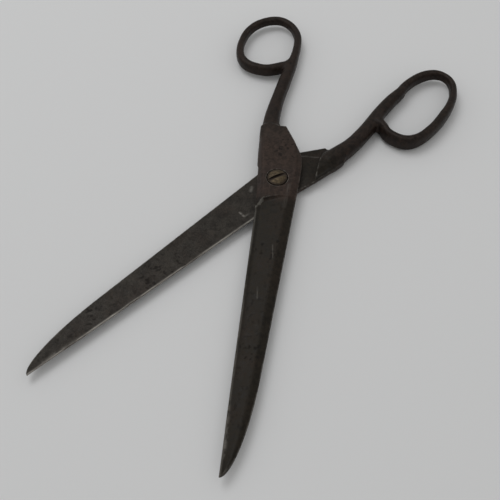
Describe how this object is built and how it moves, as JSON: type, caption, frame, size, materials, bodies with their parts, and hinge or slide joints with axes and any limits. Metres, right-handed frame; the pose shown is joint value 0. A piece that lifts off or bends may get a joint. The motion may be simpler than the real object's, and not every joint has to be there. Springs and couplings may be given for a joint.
{
  "type": "fabric shears",
  "caption": "Long-bladed forged tailor's shears with a round thumb bow, an oval finger bow and a slotted pivot screw, lying open.",
  "frame": {"origin": "on the pivot axis, at the underside of the lower joint plate and the screw's flush end, where the shears rest", "axes": "+Z along the pivot axis, up from the table; +Y half way between the two shanks, from the pivot towards the bows"},
  "size_m": [0.1234, 0.2451, 0.0105],
  "materials": {
    "forged_iron": "forged steel with a dark brown patina, lightly pitted, worn bright along the cutting edges",
    "screw_brass": "dull aged brass, dirt in the slot and round the rim"
  },
  "bodies": {
    "lower": {"lower_half": "forged_iron", "pivot_screw": "screw_brass"},
    "upper": {"upper_half": "forged_iron"}
  },
  "joints": [
    {"name": "pivot", "type": "hinge", "parent": "lower", "child": "upper", "pos_m": [0, 0, 0.00475], "axis": [0, 0, 1], "range_deg": [-36, 60]}
  ]
}
